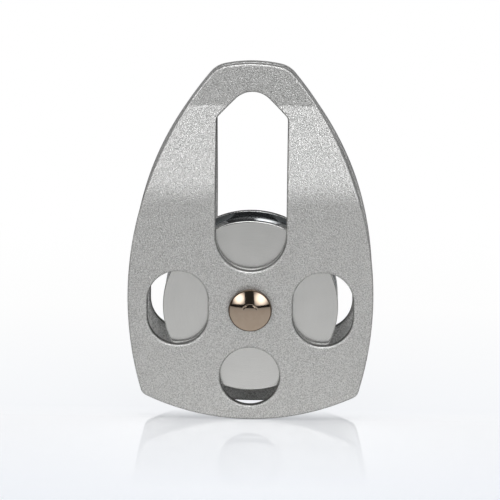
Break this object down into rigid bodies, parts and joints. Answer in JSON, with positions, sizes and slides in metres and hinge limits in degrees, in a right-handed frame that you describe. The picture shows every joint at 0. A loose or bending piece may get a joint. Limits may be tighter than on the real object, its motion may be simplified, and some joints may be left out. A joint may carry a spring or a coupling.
{
  "type": "swing-cheek rope pulley",
  "caption": "Rope pulley with two swinging joggled side plates, a carabiner eye and a grooved sheave on sealed ball bearings.",
  "frame": {"origin": "middle of the sheave on the axle's axis", "axes": "+Z from the axle to the carabiner eye, +Y along the axle from the front plate to the rear plate, +X across the plates"},
  "size_m": [0.0774, 0.0294, 0.1134],
  "materials": {
    "blasted_aluminium": "bead-blasted and clear anodised, fine bright grain",
    "turned_aluminium": "turned smooth, polished in the groove",
    "nickel_steel": "polished, warm nickel plate",
    "washer_steel": "ground flat",
    "bearing_steel": "ground and polished",
    "cage_steel": "pressed sheet",
    "seal_rubber": "matt moulded rubber"
  },
  "bodies": {
    "rear_cheek": {"rear_side_plate": "blasted_aluminium", "axle_rivet": "nickel_steel", "front_thrust_washer": "washer_steel", "rear_thrust_washer": "washer_steel", "bearing_spacer": "washer_steel", "front_inner_race": "bearing_steel", "rear_inner_race": "bearing_steel"},
    "front_cheek": {"front_side_plate": "blasted_aluminium"},
    "sheave_wheel": {"sheave": "turned_aluminium", "front_outer_race": "bearing_steel", "front_outer_seal": "seal_rubber", "front_inner_seal": "seal_rubber", "rear_outer_race": "bearing_steel", "rear_outer_seal": "seal_rubber", "rear_inner_seal": "seal_rubber"},
    "front_ball_train": {"front_balls": "bearing_steel", "front_cage_outer_half": "cage_steel", "front_cage_inner_half": "cage_steel"},
    "rear_ball_train": {"rear_balls": "bearing_steel", "rear_cage_outer_half": "cage_steel", "rear_cage_inner_half": "cage_steel"}
  },
  "joints": [
    {"name": "front_cheek_swing", "type": "hinge", "parent": "rear_cheek", "child": "front_cheek", "pos_m": [0, 0, 0], "axis": [0, 1, 0], "continuous": true},
    {"name": "sheave_spin", "type": "hinge", "parent": "rear_cheek", "child": "sheave_wheel", "pos_m": [0, 0, 0], "axis": [0, 1, 0], "continuous": true},
    {"name": "front_ball_train_spin", "type": "hinge", "parent": "rear_cheek", "child": "front_ball_train", "pos_m": [0, 0, 0], "axis": [0, 1, 0], "continuous": true},
    {"name": "rear_ball_train_spin", "type": "hinge", "parent": "rear_cheek", "child": "rear_ball_train", "pos_m": [0, 0, 0], "axis": [0, 1, 0], "continuous": true}
  ],
  "couplings": [
    {"joint": "front_ball_train_spin", "follows": "sheave_spin", "ratio": 0.6111},
    {"joint": "rear_ball_train_spin", "follows": "sheave_spin", "ratio": 0.6111}
  ]
}
